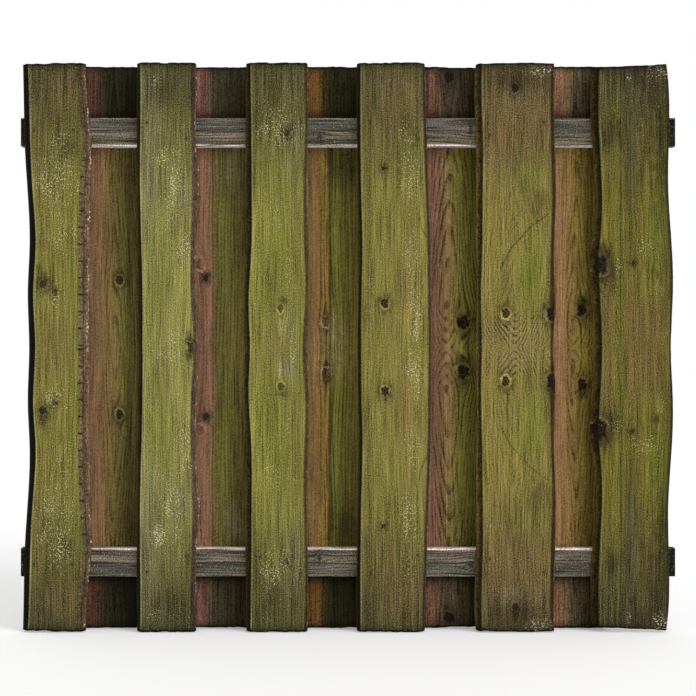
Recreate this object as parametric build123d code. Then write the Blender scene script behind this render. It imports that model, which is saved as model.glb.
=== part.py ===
from build123d import *
import os

# Privacy fence panel: waney-edged boards nailed to both sides of two rails, the back boards behind the gaps.
# Millimetres. X runs along the rails, Y from front to back, Z up; the origin is at the bottom centre.

# Boards
board_length = 1560.0
board_thickness = 22.0
# How the waney edge bellies out, from the narrow face to the wide one:
# (share of the board's thickness, share of the wane's width)
wane_belly = [(0.0, 0.0), (0.28, 0.46), (0.62, 0.84), (1.0, 1.0)]

# Rails
rail_length = 1800.0
rail_height = 78.0
rail_thickness = 40.0
rail_edge_radius = 2.5
# From the ends of the boards to the nearer long side of the rail
rail_inset = 149.0

# Nails
nail_length = 55.0
nail_shank_diameter = 3.4
nail_head_diameter = 7.0
nail_head_thickness = 1.6
nail_point_length = 6.0
nail_sides = 8
# How far below the board's face the head is driven
nail_head_sink = 0.6

# A waney edge, from the board's middle (share 0) to its ends (share 1), the same towards both ends:
# (share of the half length, half width of the narrow face, width of the wane beyond it)
edge_1_left = [
    (0.0, 59, 21), (0.2, 65, 19), (0.35, 58, 21), (0.52, 65, 18), (0.7, 73, 19), (0.87, 76, 19), (1.0, 80, 17),
]
edge_1_right = [
    (0.0, 64, 21), (0.17, 65, 21), (0.45, 65, 24), (0.59, 71, 20), (0.7, 76, 16), (0.84, 67, 16), (1.0, 59, 18),
]
edge_2_left = [
    (0.0, 66, 14), (0.17, 66, 16), (0.35, 69, 14), (0.52, 73, 10), (0.7, 73, 11), (1.0, 73, 10),
]
edge_2_right = [
    (0.0, 75, 10), (0.17, 68, 15), (0.47, 71, 12), (0.58, 72, 18), (0.7, 70, 10), (0.87, 67, 14), (1.0, 71, 9),
]
edge_3_left = [
    (0.0, 77, 15), (0.13, 81, 14), (0.35, 73, 17), (0.52, 72, 19), (0.7, 73, 17), (1.0, 76, 12),
]
edge_3_right = [
    (0.0, 69, 13), (0.17, 76, 9), (0.35, 73, 11), (0.52, 72, 8), (0.7, 75, 6), (1.0, 73, 8),
]
edge_4_left = [
    (0.0, 90, 7), (0.17, 89, 7), (0.35, 86, 7), (0.52, 89, 7), (0.7, 91, 8), (1.0, 91, 9),
]
edge_4_right = [
    (0.0, 98, 7), (0.17, 97, 8), (0.35, 95, 9), (0.52, 91, 8), (0.7, 86, 8), (1.0, 81, 6),
]
edge_5_left = [
    (0.0, 95, 14), (0.17, 98, 8), (0.35, 94, 14), (0.52, 93, 16), (0.7, 92, 16), (0.87, 96, 17), (1.0, 95, 14),
]
edge_5_right = [
    (0.0, 95, 9), (0.07, 97, 10), (0.15, 94, 18), (0.23, 95, 14), (0.35, 97, 10), (0.52, 100, 12), (0.7, 97, 13),
    (1.0, 99, 8),
]
edge_6_left = [
    (0.0, 88, 16), (0.17, 93, 15), (0.24, 96, 21), (0.31, 98, 22), (0.39, 92, 16), (0.7, 94, 16), (1.0, 95, 16),
]
edge_6_right = [
    (0.0, 99, 7), (0.2, 103, 9), (0.35, 100, 9), (0.56, 90, 9), (0.7, 92, 8), (0.84, 94, 8), (1.0, 86, 8),
]
edge_straight = [(0.0, 78, 14), (0.35, 76, 16), (0.7, 79, 12), (1.0, 77, 14)]
edge_bowed = [(0.0, 81, 13), (0.3, 78, 15), (0.65, 75, 17), (1.0, 78, 13)]
edge_wavy = [(0.0, 75, 18), (0.25, 79, 13), (0.55, 75, 17), (0.8, 80, 12), (1.0, 76, 15)]

# Two nails a board at each rail: (offset from the board's centre line, offset from the rail's middle)
nails_level = [(-62, 1), (43, 3)]
nails_falling = [(-54, 23), (53, -21)]
nails_rising = [(-49, -18), (63, 25)]
nails_falling_wide = [(-63, 25), (67, -23)]
nails_rising_wide = [(-72, -13), (76, 24)]
nails_sloping = [(-67, 18), (64, -6)]
nails_back_falling = [(-60, 20), (60, -18)]
nails_back_rising = [(-60, -18), (60, 18)]

# The boards' centre lines as shares of the rail's half length, from left to right
front_centre_shares = [-0.8856, -0.5522, -0.2133, 0.1378, 0.5111, 0.8689]
back_centre_shares = [-0.7222, -0.39, -0.0467, 0.3233, 0.6956]

# One row a board, from left to right:
# (left edge, right edge, how far the ends' left and right corners fall short, nails)
front_boards = [
    (edge_1_left, edge_1_right, (3, 0), nails_level),
    (edge_2_left, edge_2_right, (0, 0), nails_falling),
    (edge_3_left, edge_3_right, (0, 0), nails_rising),
    (edge_4_left, edge_4_right, (0, 0), nails_falling_wide),
    (edge_5_left, edge_5_right, (2, 0), nails_rising_wide),
    (edge_6_left, edge_6_right, (14, 4), nails_sloping),
]
back_boards = [
    (edge_straight, edge_wavy, (0, 0), nails_back_falling),
    (edge_bowed, edge_straight, (2, 0), nails_back_rising),
    (edge_wavy, edge_bowed, (0, 0), nails_back_falling),
    (edge_straight, edge_bowed, (0, 3), nails_back_rising),
    (edge_bowed, edge_wavy, (0, 0), nails_back_falling),
]

half_length = board_length / 2
rail_offset = half_length - rail_inset - rail_height / 2
# Depth of the boards' rail-side faces from the middle of the panel
seat = rail_thickness / 2


def board_outline(centre, board, wane_share, depth):
    """The board's outline at one depth: its narrow face's width plus a share of both wanes."""
    left_edge, right_edge, (drop_left, drop_right), nails = board
    left_reach = left_edge[-1][1] + left_edge[-1][2]
    right_reach = right_edge[-1][1] + right_edge[-1][2]

    def end_height(x):
        along = (x + left_reach) / (left_reach + right_reach)
        return half_length - drop_left - (drop_right - drop_left) * along

    def edge_points(edge, side):
        upper = [(side * (face + wane_share * wane), share * half_length) for share, face, wane in edge]
        end_x = upper[-1][0]
        upper[-1] = (end_x, end_height(end_x))
        lower = [(x, -z) for x, z in reversed(upper[1:])]
        return [Vector(centre + x, depth, half_length + z) for x, z in lower + upper]

    left = edge_points(left_edge, -1)
    right = edge_points(right_edge, 1)
    return Wire([
        Edge.make_line(left[0], right[0]),
        Edge.make_spline(right),
        Edge.make_line(right[-1], left[-1]),
        Edge.make_spline(left[::-1]),
    ])


def nail_solid(bore_above):
    """One nail pointing down from z = 0, its head carried up by bore_above to make the hole for it."""
    shank_section = RegularPolygon(nail_shank_diameter / 2, nail_sides)
    shank_end = nail_point_length - nail_length
    head = extrude(RegularPolygon(nail_head_diameter / 2, nail_sides), bore_above + nail_head_thickness)
    shank = extrude(shank_section, -nail_head_thickness - shank_end)
    point = loft([(Pos(0, 0, shank_end) * shank_section).face(), Vertex(0, 0, -nail_length)])
    return Pos(0, 0, -nail_head_thickness) * head + Pos(0, 0, shank_end) * shank + point


def nails_of(centre, board, side, bore_above=0.0):
    """The board's nails, or the holes for them; side is -1 at the front and 1 at the back."""
    offsets = board[3]
    head_depth = side * (seat + board_thickness - nail_head_sink)
    nail = Rot(X=-90 * side) * nail_solid(bore_above)
    placed = []
    for end in (-1, 1):
        for x, z in offsets:
            height = half_length + end * (rail_offset + z)
            placed.append(Pos(centre + x, head_depth, height) * nail)
    return placed


def board_solid(centre, board, side):
    """A board with its wide face against the rails, bored for its nails."""
    sections = []
    for inward, wane_share in wane_belly:
        depth = side * (seat + board_thickness * (1 - inward))
        sections.append(board_outline(centre, board, wane_share, depth))
    return Solid.make_loft(sections, ruled=True) - nails_of(centre, board, side, nail_head_sink)


def rail_solid(end, holes):
    """A rail with eased long edges, bored for every nail that reaches it; end is -1 below and 1 above."""
    rail = Box(rail_length, rail_thickness, rail_height)
    rail = fillet(rail.edges().filter_by(Axis.X), rail_edge_radius)
    return Pos(0, 0, half_length + end * rail_offset) * rail - holes


os.makedirs("parts", exist_ok=True)

all_holes = []
for name, centre_shares, boards, side in (
    ("front_board", front_centre_shares, front_boards, -1),
    ("back_board", back_centre_shares, back_boards, 1),
):
    for number, (share, board) in enumerate(zip(centre_shares, boards), start=1):
        centre = share * rail_length / 2
        export_step(board_solid(centre, board, side), f"parts/{name}_{number}.step")
        export_step(Compound(children=nails_of(centre, board, side)), f"parts/{name}_{number}_nails.step")
        all_holes += nails_of(centre, board, side, nail_head_sink)

for name, end in (("bottom_rail", -1), ("top_rail", 1)):
    export_step(rail_solid(end, all_holes), f"parts/{name}.step")
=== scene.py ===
import math
from types import SimpleNamespace

import bpy
import numpy as np
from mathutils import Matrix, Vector
from mathutils.bvhtree import BVHTree


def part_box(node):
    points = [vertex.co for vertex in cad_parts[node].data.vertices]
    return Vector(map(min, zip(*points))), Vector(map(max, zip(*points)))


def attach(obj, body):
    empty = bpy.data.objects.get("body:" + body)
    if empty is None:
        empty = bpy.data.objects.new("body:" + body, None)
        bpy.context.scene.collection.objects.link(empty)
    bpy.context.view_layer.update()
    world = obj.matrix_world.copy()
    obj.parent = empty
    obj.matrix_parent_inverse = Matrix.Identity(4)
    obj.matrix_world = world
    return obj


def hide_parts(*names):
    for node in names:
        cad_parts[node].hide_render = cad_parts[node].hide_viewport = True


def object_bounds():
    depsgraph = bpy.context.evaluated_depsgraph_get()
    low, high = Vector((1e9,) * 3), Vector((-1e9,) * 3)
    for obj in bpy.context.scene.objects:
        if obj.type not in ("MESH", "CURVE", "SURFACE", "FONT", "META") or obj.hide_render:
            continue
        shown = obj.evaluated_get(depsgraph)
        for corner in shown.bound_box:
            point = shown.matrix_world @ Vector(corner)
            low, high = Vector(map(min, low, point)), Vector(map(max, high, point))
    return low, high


# Weathered look of the fence panel. Sizes in the tables are millimetres, on a board: across from its centre
# line and away from its middle, the same towards both ends. Colours are sRGB, 0 to 255.

# Millimetres in a metre
MM = 1000

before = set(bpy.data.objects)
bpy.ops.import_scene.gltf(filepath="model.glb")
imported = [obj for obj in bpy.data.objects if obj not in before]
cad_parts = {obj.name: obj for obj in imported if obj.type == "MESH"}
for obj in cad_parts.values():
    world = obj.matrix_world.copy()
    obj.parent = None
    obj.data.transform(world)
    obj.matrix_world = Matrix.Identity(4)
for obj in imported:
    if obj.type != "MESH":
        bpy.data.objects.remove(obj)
cad_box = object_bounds()
panel_low, panel_high = cad_box
middle_z = (panel_low.z + panel_high.z) / 2
half_length = (panel_high.z - panel_low.z) / 2 * MM
rail_low, rail_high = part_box("top_rail")
rail_from_middle = ((rail_low.z + rail_high.z) / 2 - middle_z) * MM
rail_half_height = (rail_high.z - rail_low.z) / 2 * MM

FRONT_BOARDS = [f"front_board_{number}" for number in range(1, 7)]
BACK_BOARDS = [f"back_board_{number}" for number in range(1, 6)]
RAILS = ["top_rail", "bottom_rail"]

# Grid of the fine meshes: distance between a board's rows, columns over a face, levels through the thickness
ROW_STEP = 5.2
FACE_COLUMNS = 44
WANE_LEVELS = 10
RAIL_ROWS = 340
RAIL_COLUMN_STEP = 4
NAIL_SIDES = 20
# All of a nail lies within this distance of its axis
NAIL_REACH = 12

# Thickness of the CAD boards, and how far from a rail's middle their rail-side faces stay flat
BOARD_THICKNESS = 22
SEAT_REACH = 44

# Random seeds: the first of each kind of piece, and the step from one piece to the next
FRONT_SEED = 7
BACK_SEED = 907
RAIL_SEED = 1707
SEED_STEP = 100
# How far a piece's seed moves its grain, so that no two pieces share a pattern
GRAIN_SHIFT = 37
# Cells along each side of the table behind the noise
NOISE_CELLS = 251
# Stands for no knot or line nearby
FAR = 50.0

# Light and camera: metres and degrees
SKY_STRENGTH = 0.62
FLOOR_GLOW = 0.24
FLOOR_SIZE = 60
FLOOR_DROP = 0.001
SUN_ENERGY = 1.9
SUN_SPREAD = 35
SUN_FROM_FRONT = 52
SUN_RISE = 0.42
CAMERA_DISTANCE = 4.2
CAMERA_DROP = 0.002
CAMERA_LENS = 79.4
CAMERA_SENSOR = 36.0
WHITE = (1, 1, 1, 1)
FLOOR_WHITE = (0.93, 0.93, 0.93, 1)

# Tones of the wood
END_TONE = (66, 62, 42)
REAR_TONE = (130, 114, 84)
REAR_BARK = (66, 54, 37)
# Near black of the boards' and rails' ends, and of the painted shadow past the rails
ENDS_AND_SHADE_BLACK = (12, 10, 6)
# Painted highlight along the front faces' left edges
ARRIS_HIGHLIGHT = (178, 168, 116)
KNOT_HEART = (22, 16, 11)
LICHEN = (222, 220, 170)
DIRT = (38, 34, 19)
TORN_FIBRE = (206, 198, 172)
RIM_GLINT = (244, 232, 222)
NOTCH = (16, 12, 9)
THIN_LINE = (34, 30, 17)
NAIL_STAIN = (46, 38, 26)
STEEL = (38, 34, 30)
RUST = (92, 58, 38)
PATCH_TONES = {
    "murk": (52, 44, 26),
    "brown": (116, 92, 60),
    "grey": (120, 118, 94),
    "green": (116, 120, 50),
    "moss": (56, 58, 22),
    "slate": (70, 69, 48),
    "pale": (176, 170, 128),
    "tan": (146, 126, 82),
}

# How strongly grit and fibres show on the front and back boards: (at the middle, added towards the ends)
FRONT_GRIT = (2.9, 1.6)
BACK_GRIT = (1.7, 1.3)
FRONT_FIBRE = (1.15, 0.6)
BACK_FIBRE = (0.95, 0.5)
# The rails' strengths: grit, fibres and late wood; pale specks, dark specks and torn fibres
RAIL_COARSE = (3.6, 2.0, 0.6)
RAIL_MARKS = (0.15, 0.5, 0.0)

# Front boards: the face's tone, the bark's tone on the left and right wanes, and how much the right rim
# sparkles. The left wanes' tone is dark bark with painted shade added, as the light comes from the right
FRONT_TONES = {
    "front_board_1": ((121, 114, 54), (9, 8, 6), (112, 92, 66), 1.0),
    "front_board_2": ((135, 131, 70), (50, 44, 20), (92, 74, 56), 0.9),
    "front_board_3": ((128, 125, 58), (60, 54, 25), (80, 66, 38), 0.6),
    "front_board_4": ((126, 117, 58), (46, 37, 14), (70, 56, 38), 0.6),
    "front_board_5": ((129, 117, 58), (90, 76, 42), (62, 46, 22), 0.4),
    "front_board_6": ((109, 99, 39), (68, 57, 21), (40, 40, 16), 0.1),
}

# Tones across a wane as shares of the bark's own, from the face's edge to the outer rim:
# (share of the width, factor)
LEFT_WANE = [(0.0, 0.45), (0.15, 0.6), (0.5, 0.85), (0.85, 1.25), (1.0, 1.4)]
RIGHT_WANE = [(0.0, 0.9), (0.6, 0.85), (0.85, 1.1), (1.0, 1.2)]
# The first board's right wane has a groove along it
GROOVED_WANE = [
    (0.0, 0.95), (0.18, 0.9), (0.28, 0.6), (0.36, 0.65), (0.46, 0.9), (0.6, 0.8), (0.75, 0.95), (1.0, 1.0),
]
# Painted highlight: a pinkish tone along the right wanes' outer rim
RIM_HIGHLIGHT = (132, 98, 82)

# The rails' tones from the outer side to the inner one, and of the sides that face the panel's middle; the
# pale last stop and the pale inner sides are painted light, brightest on the top rail's downward side
RAIL_TONES = [
    (-39, (84, 80, 70)), (-36, (122, 116, 104)), (-31, (88, 84, 74)), (-12, (94, 90, 80)), (-3, (82, 78, 69)),
    (4, (120, 112, 94)), (12, (113, 104, 88)), (24, (96, 87, 75)), (35, (98, 86, 77)),
    (36.5, (232, 216, 202)),
]
RAIL_LIT_INNER_SIDES = {"top_rail": (252, 244, 234), "bottom_rail": (208, 190, 174)}

# Back boards: tones from left to right, between the rails and beyond them; the darker tones beyond the
# rails are partly the wood's own colour and partly painted shade
BACK_TONES = {
    "back_board_1": (
        [(-66, (138, 103, 78)), (-24, (128, 103, 64)), (8, (114, 103, 54)), (50, (98, 92, 45))],
        [(-66, (96, 60, 46)), (-44, (84, 60, 43)), (-20, (48, 43, 27)), (6, (42, 40, 24)),
         (50, (27, 26, 12))],
    ),
    "back_board_2": (
        [(-66, (140, 102, 80)), (-27, (132, 98, 74)), (-21, (114, 100, 58)), (12, (102, 98, 46)),
         (50, (108, 98, 52))],
        [(-66, (130, 86, 74)), (-32, (92, 74, 58)), (-12, (62, 56, 38)), (50, (54, 49, 29))],
    ),
    "back_board_3": (
        [(-66, (136, 106, 70)), (-16, (140, 114, 54)), (-8, (82, 78, 38)), (2, (102, 104, 42)),
         (50, (110, 102, 46))],
        [(-66, (122, 82, 44)), (-34, (108, 76, 38)), (-20, (60, 52, 22)), (0, (44, 42, 17)),
         (50, (40, 38, 16))],
    ),
    "back_board_4": (
        [(-66, (132, 95, 74)), (-34, (128, 97, 70)), (-14, (142, 118, 72)), (10, (128, 116, 60)),
         (50, (102, 97, 38))],
        [(-66, (110, 78, 60)), (-30, (90, 74, 53)), (0, (78, 69, 48)), (50, (43, 40, 20))],
    ),
    "back_board_5": (
        [(-56, (172, 128, 94)), (-28, (158, 124, 80)), (0, (152, 124, 66)), (24, (142, 122, 58)),
         (50, (132, 113, 44))],
        [(-56, (146, 100, 76)), (-28, (130, 98, 72)), (0, (102, 88, 60)), (50, (60, 56, 33))],
    ),
}

# Knots: (across, from the middle, radius, darkness, paleness of the rim)
KNOTS = {
    "front_board_1": [(-38, 172, 11, 0.75, 0.2), (-6, 150, 9, 0.75, 0.3)],
    "front_board_2": [(66, 4, 10, 0.9, 0.9)],
    "front_board_3": [(24, 586, 9, 0.85, 0.4), (8, 107, 11, 0.7, 1.0)],
    "front_board_4": [(-26, 490, 7, 0.9, 0.3), (-23, 120, 12, 1.0, 0.7)],
    "front_board_5": [(-3, 709, 11, 0.8, 0.5), (-28, 93, 13, 0.9, 1.6), (98, 92, 17, 1.0, 0.8)],
    "front_board_6": [(-92, 224, 24, 1.0, 0.9), (-2, 230, 6, 1.0, 0.0), (62, 196, 9, 0.4, 0.0)],
    "back_board_1": [(16, 186, 12, 0.75, 2.0)],
    "back_board_2": [(-44, 192, 9, 0.8, 0.1), (-60, 230, 14, 0.2, 1.0)],
    "back_board_3": [(-20, 72, 13, 0.4, 0.7)],
    "back_board_4": [(28, 69, 19, 1.0, 0.7), (-11, 752, 16, 0.8, 0.4)],
    "back_board_5": [(23, 103, 15, 1.0, 0.5)],
    "rails": [(-78, 13, 9, 0.8, 0.2), (338, -7, 10, 0.7, 0.3)],
}

# Patches: (what, across, from the middle, half width, half length, strength)
PATCHES = {
    "front_board_1": [
        ("specks", 5, 560, 40, 45, 0.9), ("specks", -5, 455, 70, 105, 0.8),
        ("specks", 25, 310, 50, 80, 0.6), ("murk", -35, 185, 22, 40, 0.6), ("murk", 30, 545, 25, 35, 0.4),
        ("brown", -45, 285, 26, 18, 0.6), ("specks", -10, 140, 45, 35, 0.7),
        ("brown", 20, 690, 60, 70, 0.35), ("green", 10, 330, 40, 110, 0.35), ("brown", 0, 40, 60, 50, 0.3),
        ("dark_specks", 5, 590, 50, 60, 0.6),
    ],
    "front_board_2": [
        ("grey", -50, 480, 34, 260, 0.35), ("specks", -30, 730, 22, 25, 0.8),
        ("murk", -5, 700, 40, 40, 0.35), ("specks", -16, 520, 26, 36, 1.1),
        ("specks", 20, 430, 40, 110, 0.9), ("specks", 50, 270, 30, 80, 0.9),
        ("green", -20, 230, 60, 130, 0.3), ("specks", 10, 20, 60, 30, 0.7), ("grey", 40, 420, 30, 70, 0.25),
        ("murk", 64, 20, 16, 24, 0.6), ("specks", 0, 350, 60, 200, 0.3),
    ],
    "front_board_3": [
        ("specks", -10, 600, 58, 60, 0.9), ("murk", -10, 690, 22, 60, 0.4), ("grey", 46, 560, 26, 90, 0.25),
        ("specks", -10, 350, 50, 40, 0.6), ("green", -5, 240, 60, 110, 0.4), ("grey", 33, 50, 20, 50, 0.5),
        ("dark_specks", -60, 60, 22, 130, 0.8), ("specks", -20, 270, 30, 30, 0.4),
        ("murk", -55, 600, 26, 90, 0.4), ("brown", -10, 20, 60, 60, 0.35), ("pale", 6, 62, 4, 36, 0.6),
        ("specks", 30, 210, 12, 60, 0.7), ("specks", 40, 30, 14, 40, 0.7), ("murk", 16, 128, 12, 10, 0.5),
        ("dark_specks", -15, 150, 20, 20, 0.9),
    ],
    "front_board_4": [
        ("dark_specks", -68, 400, 10, 380, 1.0), ("murk", -68, 400, 8, 330, 0.35),
        ("specks", 40, 580, 30, 60, 0.6), ("specks", 46, 470, 30, 90, 0.9),
        ("specks", 54, 270, 28, 90, 0.9), ("specks", 60, 80, 26, 110, 0.9),
        ("specks", -66, 170, 14, 20, 0.5), ("brown", 20, 660, 70, 110, 0.4),
        ("green", -20, 330, 60, 160, 0.25), ("brown", 30, 160, 40, 120, 0.3),
    ],
    "front_board_5": [
        ("brown", 0, 600, 110, 190, 0.7), ("grey", -5, 690, 30, 40, 0.3), ("murk", 0, 735, 90, 45, 0.65),
        ("torn", 66, 756, 34, 16, 1.3), ("green", 30, 470, 50, 50, 0.5), ("green", 45, 215, 50, 110, 0.7),
        ("murk", 70, 400, 26, 40, 0.4), ("brown", -40, 30, 60, 60, 0.4), ("murk", 96, 90, 18, 36, 0.8),
        ("tan", 10, 30, 80, 46, 0.55), ("murk", -28, 112, 14, 18, 0.4), ("specks", -60, 500, 30, 60, 0.4),
        ("rings", 4, 46, 85, 58, 1.6), ("rings", 10, 590, 45, 60, 0.6),
    ],
    "front_board_6": [
        ("murk", -88, 225, 24, 56, 0.9), ("murk", -64, 214, 26, 44, 0.7),
        ("dark_specks", -58, 180, 30, 75, 1.8), ("brown", -74, 100, 20, 130, 0.6),
        ("green", -42, 300, 16, 420, 0.4), ("slate", -9, 540, 24, 270, 0.55),
        ("dark_specks", 55, 330, 45, 220, 0.8), ("moss", 108, 400, 50, 420, 0.75),
        ("murk", 70, 640, 40, 190, 0.5), ("torn", 78, 752, 28, 22, 1.2), ("torn", -13, 741, 8, 14, 1.3),
        ("murk", -62, 590, 22, 40, 0.7), ("green", 60, 260, 40, 160, 0.35), ("brown", 30, 60, 60, 80, 0.45),
        ("murk", 20, 745, 90, 40, 0.5), ("specks", -45, 225, 16, 26, 0.8), ("specks", 30, 270, 40, 30, 0.6),
        ("specks", 75, 160, 20, 24, 0.6),
    ],
    "back_board_1": [
        # The last patch here is painted shade on the right part just inside the rails
        ("murk", 14, 190, 18, 34, 0.5), ("murk", 42, 250, 10, 400, 0.4), ("murk", 40, 480, 40, 60, 0.25),
    ],
    "back_board_2": [
        ("murk", -44, 196, 16, 16, 0.6), ("grey", 30, 480, 40, 70, 0.3), ("green", 10, 320, 40, 130, 0.4),
    ],
    "back_board_3": [
        # The patch 34 across at 500 is painted shade on the right part just inside the rails
        ("green", 12, 330, 18, 170, 0.6), ("murk", -9, 500, 6, 90, 0.7), ("murk", 34, 500, 40, 70, 0.6),
        ("tan", 0, 34, 50, 62, 0.6),
    ],
    "back_board_4": [
        ("murk", 30, 60, 20, 44, 0.8), ("green", 26, 330, 24, 220, 0.4), ("murk", -11, 745, 26, 30, 0.6),
    ],
    "back_board_5": [
        ("murk", 26, 105, 16, 36, 0.7), ("murk", 44, 300, 12, 400, 0.4),
    ],
}

# Growth rings: (spacing, pith's place across, how blunt their arches are, contrast, where they begin to
# show from the left, the arches' centre from the middle, distance between the arches)
RINGS = {
    "front_board_1": (8, 6, 8, 0.35, -200, 0, 130),
    "front_board_2": (7, -120, 40, 0.25, -200, 0, 2000),
    "front_board_3": (7, -130, 60, 0.2, -200, 0, 2000),
    "front_board_4": (7, 150, 60, 0.2, -200, 0, 2000),
    "front_board_5": (9, -6, 12, 0.35, -200, 100, 60),
    "front_board_6": (8, -8, 6, 0.4, -200, 210, 70),
    "back_board_1": (7, 2, 14, 0.7, -24, 0, 120),
    "back_board_2": (9, 130, 40, 0.55, -20, 0, 2000),
    "back_board_3": (9, -110, 40, 0.7, -40, 0, 2000),
    "back_board_4": (8, -10, 28, 0.85, -52, 110, 85),
    "back_board_5": (8, 7, 14, 0.7, -14, 40, 90),
}

# Thin dark lines: (across, from the middle) points
LINES = {
    "front_board_4": [(91, 300), (76, 330), (70, 365)],
    "front_board_5": [(90, 366), (40, 330), (-14, 270), (-44, 214)],
    "front_board_6": [(-36, -20), (-36, 400), (-35, 780)],
    "back_board_2": [(-24, -20), (-24, 300), (-24, 780)],
    "back_board_3": [(-8, -20), (-9, 300), (-12, 780)],
}

# Centre lines of the boards
CENTRE_LINES = dict(zip(
    FRONT_BOARDS + BACK_BOARDS,
    (-797, -497, -192, 124, 460, 782, -650, -351, -42, 291, 626),
))

# The board with dark notches along its right wane, how far from the middle they reach, and their spacing
NOTCHED_BOARD = "front_board_1"
NOTCH_REACH = 525
NOTCH_SPACING = 46


def smoothstep(low, high, value):
    """A share that eases from 0 at low to 1 at high."""
    share = np.clip((value - low) / (high - low), 0, 1)
    return share * share * (3 - 2 * share)


def noise(u, v, seed):
    """Smooth value noise from -1 to 1, one cell a unit."""
    table = np.random.default_rng(seed).uniform(-1, 1, (NOISE_CELLS, NOISE_CELLS))
    cell_u = np.floor(u).astype(int)
    cell_v = np.floor(v).astype(int)
    share_u = smoothstep(0, 1, u - cell_u)
    share_v = smoothstep(0, 1, v - cell_v)
    near_u, far_u = cell_u % NOISE_CELLS, (cell_u + 1) % NOISE_CELLS
    near_v, far_v = cell_v % NOISE_CELLS, (cell_v + 1) % NOISE_CELLS
    near = table[near_u, near_v] * (1 - share_v) + table[near_u, far_v] * share_v
    far = table[far_u, near_v] * (1 - share_v) + table[far_u, far_v] * share_v
    return near * (1 - share_u) + far * share_u


def linear(colour):
    """An sRGB colour as the linear numbers that shaders use."""
    channels = np.array(colour, float) / 255
    return np.where(channels <= 0.04045, channels / 12.92, ((channels + 0.055) / 1.055) ** 2.4)


def blend(base, colour, share):
    """Moves an array of linear colours towards one sRGB colour by a share at each point."""
    return base + (linear(colour) - base) * np.clip(share, 0, 1)[..., None]


def tones_along(stops, places):
    """Linear colours at the given places, between the stops of a row of (place, tone)."""
    marks = [stop[0] for stop in stops]
    tones = np.array([linear(stop[1]) for stop in stops])
    return np.stack([np.interp(places, marks, tones[:, k]) for k in range(3)], axis=-1)


def stacked(shape, *parts):
    """Three fields side by side, one row a vertex."""
    return np.stack([np.broadcast_to(part, shape) for part in parts], axis=-1).reshape(-1, 3)


def tube_quads(rows, columns):
    """The corners of a closed tube's quads: here, beside, beside in the next row, here in the next row."""
    for start in range(0, (rows - 1) * columns, columns):
        for k in range(columns):
            after = (k + 1) % columns
            yield start + k, start + after, start + columns + after, start + columns + k


def line_distance(u, v, points):
    """Distance from each point to a run of straight lines."""
    nearest = np.full(u.shape, 1e3)
    for (u0, v0), (u1, v1) in zip(points, points[1:]):
        du, dv = u1 - u0, v1 - v0
        share = np.clip(((u - u0) * du + (v - v0) * dv) / (du * du + dv * dv), 0, 1)
        nearest = np.minimum(nearest, np.hypot(u - u0 - share * du, v - v0 - share * dv))
    return nearest


def make_piece(name, node, material, vertices, faces, fields):
    """A mesh object that stands for a CAD node, with its fields kept as attributes."""
    mesh = bpy.data.meshes.new(name)
    mesh.from_pydata(vertices, [], faces)
    for field, values in fields.items():
        attribute = mesh.attributes.new(field, "FLOAT_VECTOR", "POINT")
        attribute.data.foreach_set("vector", np.ascontiguousarray(values, np.float32).ravel())
    mesh.shade_smooth()
    mesh.materials.append(material)
    piece = bpy.data.objects.new(name, mesh)
    bpy.context.scene.collection.objects.link(piece)
    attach(piece, "root")
    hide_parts(node)


def node_tree(node):
    """A CAD node's surface, for rays to meet."""
    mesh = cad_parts[node].data
    corners = [vertex.co for vertex in mesh.vertices]
    return BVHTree.FromPolygons(corners, [face.vertices[:] for face in mesh.polygons])


def end_line(tree, low, high, sign):
    """The height of a board's sawn end as a straight line over x."""
    middle_y = (low.y + high.y) / 2
    x0, x1 = low.x + 0.03, high.x - 0.03
    heights = []
    for x in (x0, x1):
        above = Vector((x, middle_y, middle_z + sign))
        heights.append(tree.ray_cast(above, Vector((0, 0, -sign)))[0].z)
    slope = (heights[1] - heights[0]) / (x1 - x0)
    return lambda x: heights[0] + slope * (x - x0)


def board_shape(node, side, shares):
    """Edges of a CAD board at each row and depth: x of the left and right, and the ends' lines."""
    tree = node_tree(node)
    low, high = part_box(node)
    lower, upper = (end_line(tree, low, high, sign) for sign in (-1, 1))
    narrow, wide = (low.y, high.y) if side < 0 else (high.y, low.y)
    inset = 0.0004
    depths = narrow + (wide - narrow) * np.linspace(0, 1, WANE_LEVELS)
    probes = np.clip(depths, low.y + inset, high.y - inset)
    edges = []
    for direction in (-1, 1):
        x_side = low.x if direction < 0 else high.x
        bottom, top = lower(x_side) + 4 * inset, upper(x_side) - 4 * inset
        edge = np.zeros((len(shares), WANE_LEVELS))
        for row, share in enumerate(shares):
            z = bottom + share * (top - bottom)
            for level, y in enumerate(probes):
                start = Vector((x_side + direction * 0.1, y, z))
                edge[row, level] = tree.ray_cast(start, Vector((-direction, 0, 0)))[0].x
        edges.append(edge)
    return edges[0], edges[1], depths, lower, upper


def row_shares(length):
    """Rows along a board, finer next to its ends."""
    fine = np.array([0, 1.2, 2.8, 5.5])
    inner = np.linspace(9, length - 9, int(length / ROW_STEP))
    return np.concatenate([fine, inner, length - fine[::-1]]) / length


def nail_centres(node):
    """Where the nails of a nails node are, with the head's outward end: rows of x, y, z."""
    points = np.array([vertex.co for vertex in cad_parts[node].data.vertices])
    centres = []
    while len(points):
        near = np.hypot(points[:, 0] - points[0, 0], points[:, 2] - points[0, 2]) < NAIL_REACH / MM
        group = points[near]
        ends = group[:, 1].min(), group[:, 1].max()
        outward = max(ends, key=abs)
        middle = (group.min(0) + group.max(0)) / 2
        centres.append((middle[0], outward, middle[2]))
        points = points[~near]
    return centres


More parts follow.
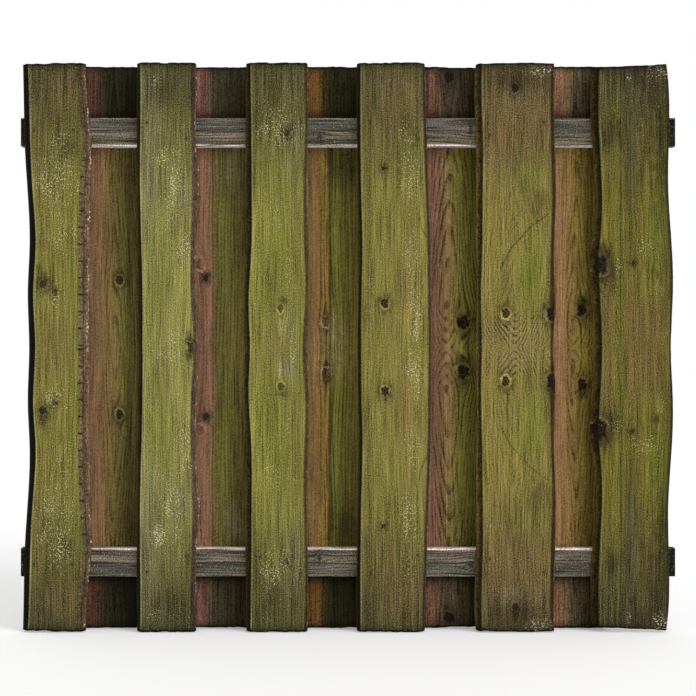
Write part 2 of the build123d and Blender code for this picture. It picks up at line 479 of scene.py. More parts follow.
def board_colours(node, side, face, across, height, signed, seed):
    """Smooth tones over a board: linear colours, and strengths of specks, torn fibres and rings."""
    drift = noise(across / 38, height / 380, seed) * 0.10 + noise(across / 13, height / 170, seed + 1) * 0.08
    cloud = noise(across / 60, signed / 90, seed + 2) * 0.5 + noise(across / 22, signed / 40, seed + 3) * 0.5
    ends = smoothstep(0.40, 1.02, height / half_length + cloud * 0.07)
    if side < 0:
        tint = np.broadcast_to(linear(FRONT_TONES[node][0]), across.shape + (3,))
        for tone, offset in (("brown", 4), ("green", 5)):
            patch = smoothstep(0.1, 0.8, noise(across / 45, height / 170, seed + offset))
            tint = blend(tint, PATCH_TONES[tone], 0.25 * patch)
        tint = blend(tint, END_TONE, 0.85 * ends)
    else:
        waved = across + 3 * noise(height / 120, across / 40, seed + 6)
        between_rails, past_rails = (tones_along(stops, waved) for stops in BACK_TONES[node])
        # Beyond the rails the tones turn darker: partly the wood's own colour, partly painted shade
        beyond = smoothstep(535, 625, height + cloud * 20)[..., None]
        tint = between_rails * (1 - beyond) + past_rails * beyond
        # Painted light and shade: between the rails, each back board's right part is lighter towards the
        # panel's middle and darker towards the rails
        towards_middle = np.clip(1 - height / 500, 0, 1)
        shaded_right = smoothstep(-20, 30, across)
        tint = tint * (0.96 + shaded_right * (0.6 * towards_middle - 0.24) * (1 - beyond[..., 0]))[..., None]
        # Painted shadow: a dark band on the back boards just past each rail's outer side
        past_rail = height - rail_from_middle - rail_half_height
        rail_shadow = np.where(past_rail > 0, 1 - smoothstep(0, 36, past_rail), 0.0)
        tint = blend(tint, ENDS_AND_SHADE_BLACK, 0.75 * rail_shadow)
    tint = tint * (1 + drift + cloud * 0.05)[..., None]
    strengths = {what: np.zeros(across.shape) for what in ("specks", "dark_specks", "torn", "rings")}
    ragged = 1 + 0.5 * noise(across / 9, signed / 14, seed + 7)
    spread = 0.55 + 0.45 * smoothstep(-0.5, 0.5, noise(across / 16, signed / 40, seed + 8))
    if side < 0:
        strengths["specks"] = 0.12 * spread
    for what, u, v, half_u, half_v, strength in PATCHES[node]:
        reach = np.sqrt(((across - u) / half_u) ** 2 + ((height - v) / half_v) ** 2) * ragged
        share = strength * (1 - smoothstep(0.2, 1.4, reach))
        if what in strengths:
            strengths[what] = np.maximum(strengths[what], share * spread)
        else:
            tint = blend(tint, PATCH_TONES[what], share)
    rear = linear(REAR_TONE) * 0.75 + tint * 0.25
    rear = blend(rear, END_TONE, 0.5 * ends) * (1 + 1.6 * drift + 0.2 * cloud)[..., None]
    hidden = (~face)[..., None]
    return np.where(hidden, rear, tint), strengths


def knot_fields(name, u, v, flow, fibres_along_v):
    """Place in knot radii from the nearest knot, its darkness and paleness, and the flow bent round all."""
    knot_u = np.full(u.shape, FAR)
    knot_v = np.full(u.shape, FAR)
    knot_dark = np.zeros(u.shape)
    pale_knot = np.zeros(u.shape)
    for centre_u, centre_v, radius, darkness, paleness in KNOTS[name]:
        du, dv = (u - centre_u) / radius, (v - centre_v) / radius / 1.25
        if fibres_along_v:
            flow = flow - radius * du * 1.1 / (du * du + dv * dv / 4 + 0.6)
        else:
            flow = flow - radius * dv * 1.1 / (dv * dv + du * du / 4 + 0.6)
        closer = np.hypot(du, dv) < np.hypot(knot_u, knot_v)
        knot_u = np.where(closer, du, knot_u)
        knot_v = np.where(closer, dv, knot_v)
        knot_dark = np.where(closer, darkness, knot_dark)
        pale_knot = np.where(closer, paleness, pale_knot)
    return knot_u, knot_v, knot_dark, pale_knot, flow


def end_caps(rows, columns, side):
    """Faces over both ends of a board: a strip between its two faces and a fan over each wane."""
    first_wide = columns // 2
    last_wide = first_wide + FACE_COLUMNS
    faces = []
    for start, flip in ((0, True), ((rows - 1) * columns, False)):
        caps = []
        for k in range(FACE_COLUMNS):
            across_from = start + last_wide - k
            caps.append((start + k, start + k + 1, across_from - 1, across_from))
        caps.append(tuple(start + k for k in range(FACE_COLUMNS, first_wide + 1)))
        caps.append((start,) + tuple(start + k for k in range(last_wide, columns)))
        turned = flip == (side < 0)
        faces += [cap[::-1] if turned else cap for cap in caps]
    return faces


def board_grid(node, side):
    """Points in rings over a board's CAD outline, with their places on the board in millimetres."""
    low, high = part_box(node)
    shares = row_shares((high.z - low.z) * MM)
    left, right, depths, lower, upper = board_shape(node, side, shares)
    rows = len(shares)
    across_face = np.linspace(0, 1, FACE_COLUMNS + 1)
    levels = np.arange(1, WANE_LEVELS - 1)
    last = WANE_LEVELS - 1
    narrow_x = left[:, :1] + (right[:, :1] - left[:, :1]) * across_face
    wide_x = right[:, last:] + (left[:, last:] - right[:, last:]) * across_face
    x = np.hstack([narrow_x, right[:, levels], wide_x, left[:, levels[::-1]]])
    y = np.hstack([
        np.full(narrow_x.shape, depths[0]),
        np.broadcast_to(depths[levels], (rows, len(levels))),
        np.full(wide_x.shape, depths[last]),
        np.broadcast_to(depths[levels[::-1]], (rows, len(levels))),
    ])
    z = lower(x) + shares[:, None] * (upper(x) - lower(x))
    column = np.arange(x.shape[1])
    first_wide = len(column) // 2
    on_narrow = column <= FACE_COLUMNS
    on_wide = (column >= first_wide) & (column <= first_wide + FACE_COLUMNS)
    signed = (z - middle_z) * MM
    edge_left = (x - left[:, :1]) * MM
    edge_right = (right[:, :1] - x) * MM
    on_left = edge_left < edge_right
    to_edge = np.minimum(edge_left, edge_right)
    wane_widths = np.where(on_left, left[:, :1] - left[:, last:], right[:, last:] - right[:, :1]) * MM
    return SimpleNamespace(
        x=x, y=y, z=z,
        across=x * MM - CENTRE_LINES[node], signed=signed, height=np.abs(signed),
        depth=np.abs(y - depths[0]) * MM, end_gap=np.minimum(z - lower(x), upper(x) - z) * MM,
        edge_left=edge_left, edge_right=edge_right, to_edge=to_edge,
        wane_share=np.clip(-to_edge / np.maximum(wane_widths, 1), 0, 1),
        on_narrow=on_narrow, on_wide=on_wide, on_wane=~(on_narrow | on_wide), on_left=on_left)


def bark_share(node, grid, seed):
    """1 on a board's wanes, fading over the nearest few millimetres of the narrow face."""
    notched = grid.on_narrow & ~grid.on_left & (node == NOTCHED_BOARD)
    ragged = 1.8 + 1.5 * noise(grid.signed / 17, grid.across / 30, seed + 10) + np.where(notched, 6.0, 0.0)
    face_bark = 1 - smoothstep(0.3, 1, grid.to_edge / np.maximum(ragged, 0.5))
    return np.where(grid.on_wane, 1.0, np.where(grid.on_narrow, face_bark, 0.0))


def paint_bark(node, side, grid, tint, bark, seed):
    """A board's tones with bark on the wanes, painted shade on the left ones and a painted highlight along
    the right rim, and how strongly that rim sparkles in painted glints.
    """
    signed, depth, edge_left = grid.signed, grid.depth, grid.edge_left
    peel = 1 + 0.3 * noise(signed / 26, depth / 8, seed + 31)
    peel = np.clip(peel + 0.25 * noise(signed / 9, depth / 5, seed + 32), 0.4, 1.6)
    if side > 0:
        return tint + (linear(REAR_BARK) * peel[..., None] - tint) * bark[..., None], np.zeros(bark.shape)
    shaded_left_bark, right_bark, sparkle = FRONT_TONES[node][1:]
    right_wane = GROOVED_WANE if node == NOTCHED_BOARD else RIGHT_WANE
    left_factor, right_factor = (
        np.interp(grid.wane_share, *zip(*stops)) ** 2.2 for stops in (LEFT_WANE, right_wane))
    ends = smoothstep(0.5, 1.0, grid.height / half_length)
    factor = np.where(grid.on_left, left_factor, right_factor) * (1 - 0.45 * ends) * peel
    # Painted shade: the left wanes' bark is much darker than the right's, for the side away from the light
    barks = np.where(grid.on_left[..., None], linear(shaded_left_bark), linear(right_bark)) * factor[..., None]
    # Painted highlight: a pinkish band along the right wane's outer rim, which also carries painted glints
    lit_rim = np.where(grid.on_wane & ~grid.on_left, smoothstep(0.7, 0.9, grid.wane_share), 0.0)
    barks = blend(barks, RIM_HIGHLIGHT, lit_rim * (0.15 + 0.25 * noise(signed / 13, depth / 9, seed + 34)))
    # Painted highlight: a pale band along the left edge of the front face
    arris = smoothstep(0.5, 1.6, edge_left) * (1 - smoothstep(2.6, 5.0, edge_left)) * (1 - 0.2 * ends)
    tint = blend(tint, ARRIS_HIGHLIGHT, np.where(grid.on_narrow & grid.on_left, 0.55 * arris, 0.0))
    tint = tint + (barks - tint) * bark[..., None]
    shine = sparkle * smoothstep(-0.3, 0.4, noise(signed / 30, depth / 30, seed + 35))
    return tint, lit_rim * shine


def carved_points(side, grid, flow, knot, nails, seed):
    """A board's points after wear: fibres and dents, bark plates, pits at knots and nails, worn ends."""
    x, y, z = grid.x, grid.y, grid.z
    across, signed, height, depth = grid.across, grid.signed, grid.height, grid.depth
    knot_u, knot_v, knot_dark = knot
    relief = 0.30 + 0.22 * noise(flow / 5, height / 150, seed + 12)
    relief += 0.16 * noise(flow / 17, height / 300, seed + 13)
    relief += 0.5 * np.maximum(0, noise(across / 28, signed / 50, seed + 14) - 0.45)
    pits = 1 - smoothstep(0.5, 1.6, np.hypot(knot_u, knot_v))
    relief += 0.9 * pits * knot_dark
    plates = 0.8 + 0.7 * noise(signed / 24, depth / 7, seed + 15)
    plates += 0.5 * noise(signed / 8, depth / 5, seed + 16)
    inward = np.where(grid.on_wane, np.clip(plates, 0, 2.4), np.clip(relief, 0, 2))
    for nail_x, _, nail_z in nails:
        away = np.hypot(x - nail_x, z - nail_z) * MM
        dimple = 1.35 * (1 - smoothstep(4.5, 9, away))
        inward = np.where(grid.on_narrow, np.maximum(inward, dimple), inward)
    seated = np.abs(height - rail_from_middle) < SEAT_REACH
    inward = np.where(grid.on_wide & seated, 0.0, inward) / MM
    turn = np.where(grid.on_wane, np.clip(depth / BOARD_THICKNESS, 0.15, 0.85), 0.0)
    y = y - np.where(grid.on_wide, -side, side * (1 - turn)) * inward
    x = x - np.where(grid.on_wane, np.where(grid.on_left, -1, 1) * turn, 0.0) * inward
    worn = 1.0 + 1.3 * noise(across / 11, depth / 9, seed + 17) + noise(across / 45, depth / 30, seed + 18)
    worn = np.clip(worn, 0, 4) * (1 - smoothstep(0, 14, grid.end_gap)) / MM
    z = z - np.sign(signed) * worn
    round_off = 0.0012 * (1 - smoothstep(0, 3, grid.end_gap))
    y = y - np.where(grid.on_narrow, side, np.where(grid.on_wide, -side, 0)) * round_off
    return np.stack([x, y, z], axis=-1).reshape(-1, 3)


def board_piece(node, side, seed):
    """A board on its CAD outline, with bark, knots, grain and wear; side is -1 in front and 1 behind."""
    grid = board_grid(node, side)
    across, signed, height, depth = grid.across, grid.signed, grid.height, grid.depth
    shape = across.shape
    nails = nail_centres(f"{node}_nails")
    bark = bark_share(node, grid, seed)

    # Fibres run round the knots, and the growth rings follow the fibres
    flow = across + 5 * noise(height / 240, across / 80, seed + 11)
    knot_u, knot_v, knot_dark, pale_knot, flow = knot_fields(node, across, height, flow, True)
    spacing, pith, bluntness, contrast, shown_from, arch_centre, arch_length = RINGS[node]
    arch = height - arch_centre
    arch = np.maximum(arch, -3 * arch) / arch_length
    ring = np.hypot(flow - pith, bluntness) / spacing + arch
    ring = ring + 0.35 * noise(height / 110, across / 60, seed + 19)

    # Tones of the wood, then bark, near-black bands at the ends and stains at the nails
    shown = grid.on_narrow | grid.on_wane if side < 0 else grid.on_wide
    shown_points = np.broadcast_to(shown, shape)
    tint, strengths = board_colours(node, side, shown_points, across, height, signed, seed + 20)
    tint, lit_rim = paint_bark(node, side, grid, tint, bark, seed)
    frayed = grid.end_gap + noise(across / 8, signed / 8, seed + 33) * 1.5
    # The ends turn near black in a ragged band
    dark_ends = np.maximum(0.98 * (1 - smoothstep(4.5, 8.5, frayed)), 0.5 * (1 - smoothstep(3, 28, frayed)))
    tint = blend(tint, ENDS_AND_SHADE_BLACK, dark_ends)
    for nail_x, _, nail_z in nails:
        stain = np.exp(-((grid.x - nail_x) * 280) ** 2 - ((grid.z - nail_z) * 130) ** 2)
        tint = blend(tint, NAIL_STAIN, 0.55 * np.where(grid.on_wide, 0.0, stain))

    # How strongly flecks, grit, fibres and late wood show
    clear = (1 - bark) * np.where(shown, 1.0, 0.4)
    weather = smoothstep(0.45, 1.0, height / half_length)
    grit_middle, grit_ends = FRONT_GRIT if side < 0 else BACK_GRIT
    fibre_middle, fibre_ends = FRONT_FIBRE if side < 0 else BACK_FIBRE
    grit = (grit_middle + grit_ends * weather) * np.where(shown, 1.0, 0.5)
    fibre = fibre_middle + fibre_ends * weather
    contrast = contrast * smoothstep(shown_from - 10, shown_from + 10, flow)
    contrast = np.maximum(contrast, strengths["rings"])

    # Distances to thin lines, and the notches along the first board's wane
    facing_front = grid.on_wide == (side > 0)
    line = np.full(shape, FAR)
    if node in LINES:
        line = np.where(facing_front, line_distance(across, height, LINES[node]), FAR)
    notch = np.zeros(shape)
    if node == NOTCHED_BOARD:
        crossing = smoothstep(-9, -6, -grid.edge_right) * (1 - smoothstep(4, 8, -grid.edge_right))
        notch = np.where((height < NOTCH_REACH) & ~grid.on_wide, crossing, 0.0)

    specks, dark_specks = strengths["specks"], strengths["dark_specks"]
    fields = {
        "tint": tint.reshape(-1, 3),
        "grain": stacked(shape, flow + seed * GRAIN_SHIFT, height, ring),
        "plain": stacked(shape, across + seed * GRAIN_SHIFT, signed, depth),
        "knot": stacked(shape, knot_u, knot_v, np.where(facing_front, knot_dark, 0.3 * knot_dark)),
        "marks": stacked(shape, specks * clear, dark_specks * clear, strengths["torn"]),
        "bark": stacked(shape, bark, lit_rim, notch),
        "lines": stacked(shape, line, pale_knot, 0.0),
        "coarse": stacked(shape, grit, fibre, contrast),
    }
    vertices = carved_points(side, grid, flow, (knot_u, knot_v, knot_dark), nails, seed)
    faces = [quad if side < 0 else quad[::-1] for quad in tube_quads(*shape)]
    faces += end_caps(*shape, side)
    make_piece(f"{node}_weathered", node, BOARD_MATERIAL, vertices.tolist(), faces, fields)


def rail_piece(node, seed):
    """A rail: its CAD section swept along X, with a split line and sawn relief."""
    points = np.array([vertex.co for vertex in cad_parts[node].data.vertices])
    low, high = points.min(0), points.max(0)
    section = np.unique(points[points[:, 0] > high[0] - 1e-5][:, 1:].round(6), axis=0)
    middle = (low[1:] + high[1:]) / 2
    section = section[np.argsort(np.arctan2(section[:, 1] - middle[1], section[:, 0] - middle[0]))]
    ring_points = []
    for start, end in zip(section, np.roll(section, -1, axis=0)):
        steps = max(1, int(np.hypot(*(end - start)) / (RAIL_COLUMN_STEP / MM)))
        ring_points += [start + (end - start) * step / steps for step in range(steps)]
    ring_points = np.array(ring_points)
    length = (high[0] - low[0]) * MM
    fine = np.array([0, 1, 2.5])
    shares = np.concatenate([fine, np.linspace(6, length - 6, RAIL_ROWS), length - fine[::-1]]) / length
    rows, columns = len(shares), len(ring_points)
    x = low[0] + np.broadcast_to(shares[:, None], (rows, columns)) * (high[0] - low[0])
    y = np.broadcast_to(ring_points[:, 0], (rows, columns))
    z = np.broadcast_to(ring_points[:, 1], (rows, columns))
    inner = np.sign(middle_z - middle[1])
    across = (z - middle[1]) * MM * inner
    along = x * MM
    depth = (y - low[1]) * MM
    end_gap = np.minimum(along - low[0] * MM, high[0] * MM - along)

    waved = across + 3 * noise(along / 130, depth / 60, seed)
    drift = 0.22 * noise(along / 90, across / 12, seed + 1) + 0.15 * noise(along / 260, across / 40, seed + 2)
    tint = tones_along(RAIL_TONES, waved) * (1 + drift)[..., None]
    # Painted light: the sides facing the panel's middle turn pale, most of all on the top rail
    tint = blend(tint, RAIL_LIT_INNER_SIDES[node], 0.95 * smoothstep(38.0, 38.9, across))
    frayed = end_gap + 5 * noise(across / 9, depth / 9, seed + 3)
    tint = blend(tint, ENDS_AND_SHADE_BLACK, 0.92 * (1 - smoothstep(14, 30, frayed)))
    line = np.abs(across + 1 - 4 * noise(along / 150, along * 0, seed + 4))
    flow = across + 4 * noise(along / 140, across / 20, seed + 5)
    knot_u, knot_v, knot_dark, pale_knot, flow = knot_fields("rails", along, across, flow, False)

    sawn = 0.25 + 0.25 * noise(flow / 4, along / 150, seed + 6)
    sawn = np.clip(sawn + 0.15 * noise(along / 9, across / 30, seed + 7), 0, 1)
    on_seat = (np.abs(y - low[1]) < 1e-4) | (np.abs(y - high[1]) < 1e-4)
    under_board = np.zeros(x.shape, bool)
    for board in FRONT_BOARDS + BACK_BOARDS:
        board_low, board_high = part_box(board)
        facing = (y < middle[0]) == (board in FRONT_BOARDS)
        under_board |= facing & (x > board_low.x - 0.004) & (x < board_high.x + 0.004)
    pull = np.where(on_seat & under_board, 0.0, sawn) / MM
    towards = np.stack([middle[0] - y, middle[1] - z], axis=-1)
    towards = towards / np.maximum(np.abs(towards).max(axis=-1, keepdims=True), 1e-6)
    on_face = np.abs(z - middle[1]) < (high[2] - low[2]) / 2 - 0.0005
    y = y + np.sign(towards[..., 0]) * np.where(on_seat, pull, 0.0)
    z = z + np.sign(towards[..., 1]) * np.where(on_face, 0.0, pull)

    faces = [(here, above, above_beside, beside)
             for here, beside, above_beside, above in tube_quads(rows, columns)]
    faces.append(tuple(range(columns)))
    faces.append(tuple((rows - 1) * columns + k for k in range(columns))[::-1])

    fields = {
        "tint": tint.reshape(-1, 3),
        "grain": stacked(x.shape, flow + seed * GRAIN_SHIFT, along, flow / 9),
        "plain": stacked(x.shape, across + seed * GRAIN_SHIFT, along, depth),
        "knot": stacked(x.shape, knot_u, knot_v, knot_dark),
        "marks": stacked(x.shape, *RAIL_MARKS),
        "bark": stacked(x.shape, 0.0, 0.0, 0.0),
        "lines": stacked(x.shape, line, pale_knot, 0.0),
        "coarse": stacked(x.shape, *RAIL_COARSE),
    }
    vertices = np.stack([x, y, z], axis=-1).reshape(-1, 3)
    make_piece(f"{node}_sawn", node, BOARD_MATERIAL, vertices.tolist(), faces, fields)


def nails_piece(node):
    """Round nails with domed heads in place of a node's plain ones."""
    points = np.array([vertex.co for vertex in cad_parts[node].data.vertices])
    angles = np.linspace(0, 2 * math.pi, NAIL_SIDES, endpoint=False)
    vertices = []
    faces = []
    for centre_x, head_y, centre_z in nail_centres(node):
        group = points[np.hypot(points[:, 0] - centre_x, points[:, 2] - centre_z) < NAIL_REACH / MM]
        radii = np.hypot(group[:, 0] - centre_x, group[:, 2] - centre_z)
        head_radius = radii.max()
        shank_radius = radii[(radii > 1e-4) & (radii < head_radius * 0.7)].max()
        inward = -math.copysign(1, head_y)
        head_depth = np.abs(group[radii > head_radius * 0.9][:, 1] - head_y).max()
        length = np.abs(group[:, 1] - head_y).max()
        profile = [
            (0.35 * head_radius, 0.0), (0.75 * head_radius, 0.06 * head_depth),
            (0.95 * head_radius, 0.25 * head_depth), (head_radius, 0.5 * head_depth),
            (0.97 * head_radius, head_depth), (shank_radius, head_depth),
            (shank_radius, length - 3 * shank_radius),
        ]
        start = len(vertices)
        for radius, depth in profile:
            for angle in angles:
                x = centre_x + radius * math.cos(angle)
                z = centre_z + radius * math.sin(angle)
                vertices.append((x, head_y + inward * depth, z))
        crown, tip = len(vertices), len(vertices) + 1
        vertices += [(centre_x, head_y, centre_z), (centre_x, head_y + inward * length, centre_z)]
        for k in range(NAIL_SIDES):
            after = (k + 1) % NAIL_SIDES
            turned = []
            for ring in range(len(profile) - 1):
                base = start + ring * NAIL_SIDES
                below = base + NAIL_SIDES
                turned.append((base + k, below + k, below + after, base + after))
            last = start + (len(profile) - 1) * NAIL_SIDES
            turned.append((crown, start + k, start + after))
            turned.append((tip, last + after, last + k))
            faces += turned if inward > 0 else [face[::-1] for face in turned]
    make_piece(f"{node}_domed", node, NAIL_MATERIAL, vertices, faces, {})


class Value:
    """A shader output that adds nodes to its graph when it is used in sums and products."""

    def __init__(self, graph, socket):
        self.graph = graph
        self.socket = socket

    def __add__(self, other):
        return self.graph.math("ADD", self, other)

    def __sub__(self, other):
        return self.graph.math("SUBTRACT", self, other)

    def __rsub__(self, other):
        return self.graph.math("SUBTRACT", other, self)

    def __mul__(self, other):
        return self.graph.math("MULTIPLY", self, other)

    def __truediv__(self, other):
        return self.graph.math("DIVIDE", self, other)

    __radd__ = __add__
    __rmul__ = __mul__


class Graph:
    """A material's node tree, built by short calls."""

    def __init__(self, name):
        self.material = bpy.data.materials.new(name)
        self.material.use_nodes = True
        self.nodes = self.material.node_tree.nodes
        self.links = self.material.node_tree.links
        self.nodes.clear()

    def node(self, kind, inputs, output=0, **settings):
        """Adds a node with its inputs set or linked, and gives one of its outputs."""
        made = self.nodes.new(kind)
        for setting, value in settings.items():
            setattr(made, setting, value)
        for key, value in inputs.items():
            if isinstance(value, Value):
                self.links.new(value.socket, made.inputs[key])
            else:
                made.inputs[key].default_value = value
        return Value(self, made.outputs[output])

    def math(self, operation, *terms):
        return self.node("ShaderNodeMath", dict(enumerate(terms)), operation=operation)

    def field(self, name):
        """The three numbers of a mesh attribute."""
        vector = self.node("ShaderNodeAttribute", {}, "Vector", attribute_name=name)
        parts = self.nodes.new("ShaderNodeSeparateXYZ")
        self.links.new(vector.socket, parts.inputs[0])
        return [Value(self, part) for part in parts.outputs]

    def point(self, x, y, z=0.0):
        return self.node("ShaderNodeCombineXYZ", {0: x, 1: y, 2: z})

    def noise(self, x, y, z=0.0, detail=2.0):
        inputs = {"Vector": self.point(x, y, z), "Scale": 1.0, "Detail": detail}
        return self.node("ShaderNodeTexNoise", inputs, 0)

    def cells(self, x, y, z=0.0):
        """Distance to the nearest of scattered points, and a random number for that point."""
        inputs = {"Vector": self.point(x, y, z), "Scale": 1.0}
        distance = self.node("ShaderNodeTexVoronoi", inputs, "Distance")
        colour = Value(self, distance.socket.node.outputs["Color"])
        parts = self.nodes.new("ShaderNodeSeparateXYZ")
        self.links.new(colour.socket, parts.inputs[0])
        return distance, Value(self, parts.outputs[0])

    def step(self, value, low, high):
        """A share that eases from 0 at low to 1 at high."""
        inputs = {"Value": value, "From Min": low, "From Max": high}
        return self.node("ShaderNodeMapRange", inputs, interpolation_type="SMOOTHSTEP")

    def mix(self, share, colour, other, how="MIX"):
        inputs = {0: share, 6: colour, 7: other}
        return self.node("ShaderNodeMix", inputs, 2, data_type="RGBA", blend_type=how)

    def surface(self, **inputs):
        named = {key.replace("_", " "): value for key, value in inputs.items()}
        shader = self.node("ShaderNodeBsdfPrincipled", named)
        output = self.nodes.new("ShaderNodeOutputMaterial")
        self.links.new(shader.socket, output.inputs["Surface"])
        return self.material


def rgb(colour):
    """An sRGB colour as a shader's opaque linear colour."""
    return tuple(linear(colour)) + (1.0,)


def board_material():
    """Weathered wood and bark, drawn from the fields on the meshes."""
    g = Graph("weathered_wood")
    tint = g.node("ShaderNodeAttribute", {}, "Color", attribute_name="tint")
    flow, height, ring = g.field("grain")
    across, signed, depth = g.field("plain")
    knot_u, knot_v, knot_dark = g.field("knot")
    specks, dark_specks, torn = g.field("marks")
    bark, lit_rim, notch = g.field("bark")
    line, pale_knot = g.field("lines")[:2]
    grit_share, fibre_share, contrast = g.field("coarse")
    sawn = 1.0 - bark

    # Fibres at three widths, and grit
    broad = g.noise(flow / 15, height / 420, depth / 30) - 0.5
    middling = g.noise(flow / 6.5, height / 320, depth / 20) - 0.5
    fine = g.noise(flow / 2.8, signed / 130, depth / 6) - 0.5
    grit = g.noise(across / 3.0, signed / 3.2, depth / 4, detail=1.0) - 0.5
    fibres = (broad * 0.45 + middling * 0.7 + fine * 1.9) * fibre_share + grit * grit_share

    # Late wood as thin darker lines
    wobble = g.noise(across / 6, signed / 6, depth / 9) - 0.5
    phase = g.math("FRACT", ring + broad * 0.5 + wobble * 0.10)
    broken = g.step(g.noise(flow / 11, height / 260, 5.0), 0.36, 0.58) * 0.8 + 0.2
    late = g.step(phase, 0.40, 0.85) * g.step(phase, 1.0, 0.90) * contrast * broken * sawn

    # Knots: a dark ringed core, a pale crescent on some, and dark streaks out of a stained halo
    plain_radius = g.math("SQRT", knot_u * knot_u + knot_v * knot_v)
    turn = g.math("ABSOLUTE", g.math("ARCTAN2", knot_v, knot_u))
    strand = g.noise(turn * 2.6, plain_radius * 0.5, across / 70 + signed / 70)
    radius = plain_radius + wobble * 0.9 + (strand - 0.5) * 0.9
    core = g.step(radius, 0.92, 0.62) * knot_dark
    halo = g.step(plain_radius + wobble, 2.9, 0.8) * knot_dark
    streaks = g.step(strand, 0.52, 0.40) * halo
    lower = g.step(knot_v, 0.6, -0.7) * 0.7 + 0.3
    crescent = g.step(radius, 0.80, 0.98) * g.step(radius, 1.30, 1.08) * lower * pale_knot

    light = 1.0 + fibres * (0.5 + sawn * 0.5) - late * 0.75
    light = g.math("MAXIMUM", light, 0.15) * (1.0 - halo * 0.25 - streaks * 0.55)
    hue = g.step(broad + wobble * 0.5, -0.16, 0.16)
    warm = g.mix(hue, (0.97, 1.01, 0.94, 1), (1.03, 0.99, 1.06, 1))
    colour = g.mix(1.0, tint, warm, "MULTIPLY")
    shade = g.node("ShaderNodeCombineColor", {0: light, 1: light, 2: light})
    colour = g.mix(1.0, colour, shade, "MULTIPLY")
    colour = g.mix(crescent * 0.8, colour, g.mix(1.0, tint, (2.0, 1.9, 2.6, 1), "MULTIPLY"))
    heart = g.step(g.math("FRACT", plain_radius * 1.9 + strand * 0.9), 0.15, 0.55)
    colour = g.mix(core * (0.40 + heart * 0.56 + grit * 1.2), colour, rgb(KNOT_HEART))

    # Lichen in pale flecks and dirt in dark ones
    fleck = g.noise(across / 3.2, signed / 3.8, depth / 4 + 7.0, detail=1.0)
    pale = g.step(fleck, 0.71 - specks * 0.16, 0.76 - specks * 0.16) * g.step(specks, 0.0, 0.2)
    colour = g.mix(pale * 0.9, colour, rgb(LICHEN))
    dirt = g.step(fleck, 0.32 + dark_specks * 0.11, 0.26 + dark_specks * 0.11)
    colour = g.mix(dirt * 0.7, colour, rgb(DIRT))

    # Torn fibres: short pale slivers
    sliver = g.noise(across / 7.0 + signed / 11.0, signed / 3.5 - across / 9.0, 3.0)
    colour = g.mix(g.step(sliver, 0.56, 0.62) * torn, colour, rgb(TORN_FIBRE))

    # Bark: crumbled, with painted glints in small dots along the outer rim and dark notches on the inner side
    crumb = g.noise(across / 4 + depth / 4, signed / 6, depth / 5, detail=3.0)
    rough = g.step(crumb, 0.32, 0.68) * 1.4 + 0.30
    rough_colour = g.node("ShaderNodeCombineColor", {0: rough, 1: rough, 2: rough})
    colour = g.mix(bark, colour, g.mix(1.0, colour, rough_colour, "MULTIPLY"))
    # Painted glints: small near-white dots along the lit rim
    grain, odds = g.cells(depth / 7.0, signed / 8.0, across / 40)
    glint = g.step(grain, 0.48, 0.24) * g.step(odds, 0.57, 0.62) * lit_rim
    colour = g.mix(glint, colour, rgb(RIM_GLINT))
    beat = g.math("PINGPONG", height - 6.0 + wobble * 10.0, NOTCH_SPACING / 2)
    colour = g.mix(g.step(beat, 3.0, 1.2) * notch * 0.95, colour, rgb(NOTCH))

    # Thin dark lines
    thin = g.step(line + wobble * 4.0, 3.4, 0.8)
    colour = g.mix(thin * 0.65, colour, rgb(THIN_LINE))

    bump_height = fibres * 0.35 - late * 0.4 - core * 0.8 + crumb * bark * 2.2 - thin * 0.6
    bump = g.node("ShaderNodeBump", {"Strength": 0.45, "Distance": 0.0011, "Height": bump_height})
    return g.surface(Base_Color=colour, Roughness=0.86 + fine * 0.2, Normal=bump, Specular_IOR_Level=0.1)


def nail_material():
    """Dark steel with blotches of rust."""
    g = Graph("rusted_steel")
    place = g.node("ShaderNodeTexCoord", {}, "Object")
    blotch = g.node("ShaderNodeTexNoise", {"Vector": place, "Scale": 420.0, "Detail": 3.0}, 0)
    colour = g.mix(g.step(blotch, 0.40, 0.62), rgb(STEEL), rgb(RUST))
    bump = g.node("ShaderNodeBump", {"Strength": 0.5, "Distance": 0.0003, "Height": blotch})
    return g.surface(Base_Color=colour, Roughness=0.55 + blotch * 0.4, Normal=bump, Metallic=0.45)


def seen_rays(tree):
    """A shader output of 1 on rays from the camera, mirrors and glass, and 0 on the rest."""
    path = tree.nodes.new("ShaderNodeLightPath")
    seen = path.outputs["Is Camera Ray"]
    for ray in ("Is Glossy Ray", "Is Transmission Ray"):
        either = tree.nodes.new("ShaderNodeMath")
        either.operation = "MAXIMUM"
        tree.links.new(seen, either.inputs[0])
        tree.links.new(path.outputs[ray], either.inputs[1])
        seen = either.outputs[0]
    return seen


BOARD_MATERIAL = board_material()
NAIL_MATERIAL = nail_material()
for number, board in enumerate(FRONT_BOARDS):
    board_piece(board, -1, SEED_STEP * number + FRONT_SEED)
for number, board in enumerate(BACK_BOARDS):
    board_piece(board, 1, SEED_STEP * number + BACK_SEED)
for number, rail in enumerate(RAILS):
    rail_piece(rail, SEED_STEP * number + RAIL_SEED)
for board in FRONT_BOARDS + BACK_BOARDS:
    nails_piece(f"{board}_nails")

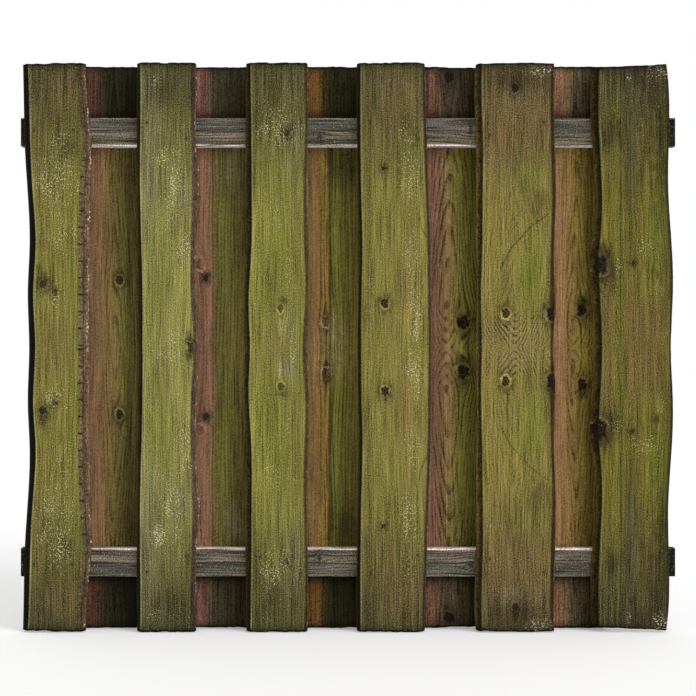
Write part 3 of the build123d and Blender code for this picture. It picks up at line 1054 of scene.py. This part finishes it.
# White floor that keeps the panel's soft shadow
bpy.ops.mesh.primitive_plane_add(size=FLOOR_SIZE, location=(0, 0, -FLOOR_DROP))
floor = bpy.context.object
floor.name = "floor"
floor_graph = Graph("pale_floor")
shown_floor = Value(floor_graph, seen_rays(floor_graph.material.node_tree))
floor.data.materials.append(floor_graph.surface(
    Base_Color=FLOOR_WHITE, Roughness=0.9, Specular_IOR_Level=0.1,
    Emission_Color=WHITE, Emission_Strength=shown_floor * FLOOR_GLOW))

# White surroundings, dimmer as a light than as a background
world = bpy.data.worlds.new("studio")
bpy.context.scene.world = world
world.use_nodes = True
tree = world.node_tree
lighting = tree.nodes["Background"]
backdrop = tree.nodes.new("ShaderNodeBackground")
for background, strength in ((lighting, SKY_STRENGTH), (backdrop, 1.0)):
    background.inputs["Color"].default_value = WHITE
    background.inputs["Strength"].default_value = strength
chosen = tree.nodes.new("ShaderNodeMixShader")
for place, output in enumerate((seen_rays(tree), lighting.outputs[0], backdrop.outputs[0])):
    tree.links.new(output, chosen.inputs[place])
tree.links.new(chosen.outputs[0], tree.nodes["World Output"].inputs["Surface"])

# One broad light from the right in front
sun = bpy.data.lights.new("key", "SUN")
sun.energy = SUN_ENERGY
sun.angle = math.radians(SUN_SPREAD)
sun_object = bpy.data.objects.new("key", sun)
bpy.context.scene.collection.objects.link(sun_object)
bearing = math.radians(SUN_FROM_FRONT)
towards_light = Vector((math.sin(bearing), -math.cos(bearing), SUN_RISE))
sun_object.rotation_mode = "QUATERNION"
sun_object.rotation_quaternion = towards_light.to_track_quat("Z", "Y")

# Camera: straight on, level with the panel's middle
camera_data = bpy.data.cameras.new("camera")
camera_data.sensor_width = CAMERA_SENSOR
camera_data.lens = CAMERA_LENS
camera = bpy.data.objects.new("camera", camera_data)
camera.location = (0.0, panel_low.y - CAMERA_DISTANCE, middle_z - CAMERA_DROP)
camera.rotation_euler = (math.radians(90), 0, 0)
bpy.context.scene.collection.objects.link(camera)
bpy.context.scene.camera = camera
bpy.context.scene.view_settings.view_transform = "Standard"
